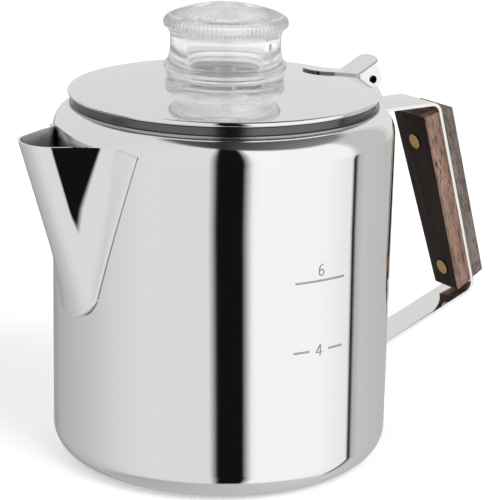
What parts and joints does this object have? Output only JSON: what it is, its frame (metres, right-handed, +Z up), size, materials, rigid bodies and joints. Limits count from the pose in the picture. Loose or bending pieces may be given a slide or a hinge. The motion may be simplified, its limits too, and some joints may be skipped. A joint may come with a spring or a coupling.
{
  "type": "coffee percolator",
  "caption": "Stovetop coffee percolator: polished steel pot with V spout, hinged domed lid, clear twist-in knob, wood-gripped strap handle, pump and basket inside.",
  "frame": {"origin": "centre of the pot's base, on the surface it stands on", "axes": "+Z up the axis of the pot, +X towards the handle and the lid hinge, -X towards the spout"},
  "size_m": [0.2036, 0.1241, 0.1667],
  "materials": {
    "polished_steel": "mirror polished stainless sheet",
    "satin_steel": "satin stainless sheet",
    "satin_aluminium": "drawn, satin",
    "dark_pin_steel": "plain rolled steel",
    "rosewood": "oiled, fine open grain",
    "brass": "worn, satin",
    "clear_knob": "clear moulded, fluted cap"
  },
  "bodies": {
    "pot": {"pot_body": "polished_steel", "spout": "polished_steel", "handle_strap": "polished_steel", "grip_inner": "rosewood", "grip_outer": "rosewood", "grip_rivets": "brass", "hinge_bracket": "polished_steel", "hinge_pin": "dark_pin_steel"},
    "lid": {"lid_cover": "polished_steel", "lid_skirt": "satin_steel", "hinge_leaf": "polished_steel"},
    "knob": {"knob": "clear_knob"},
    "pump": {"pump_tube": "satin_aluminium", "pump_bell": "satin_aluminium", "pump_floor_plate": "satin_aluminium", "basket_stop": "satin_aluminium"},
    "valve": {"pump_valve": "satin_steel"},
    "basket": {"basket": "satin_steel", "basket_sleeve": "satin_steel"},
    "spreader": {"spreader": "satin_steel", "spreader_collar": "satin_steel"}
  },
  "joints": [
    {"name": "lid_hinge", "type": "hinge", "parent": "pot", "child": "lid", "pos_m": [0.06317, 0, 0.13374], "axis": [0, 1, 0], "range_deg": [0, 110]},
    {"name": "knob_turn", "type": "hinge", "parent": "lid", "child": "knob", "pos_m": [0, 0, 0.14], "axis": [0, 0, 1], "range_deg": [0, 90]},
    {"name": "pump_lift", "type": "slide", "parent": "pot", "child": "pump", "axis": [0, 0, 1], "range_m": [0, 0.005]},
    {"name": "valve_lift", "type": "slide", "parent": "pump", "child": "valve", "axis": [0, 0, 1], "range_m": [0, 0.0015]},
    {"name": "basket_lift", "type": "slide", "parent": "pump", "child": "basket", "axis": [0, 0, 1], "range_m": [0, 0.005]},
    {"name": "spreader_lift", "type": "slide", "parent": "basket", "child": "spreader", "axis": [0, 0, 1], "range_m": [0, 0.005]}
  ]
}
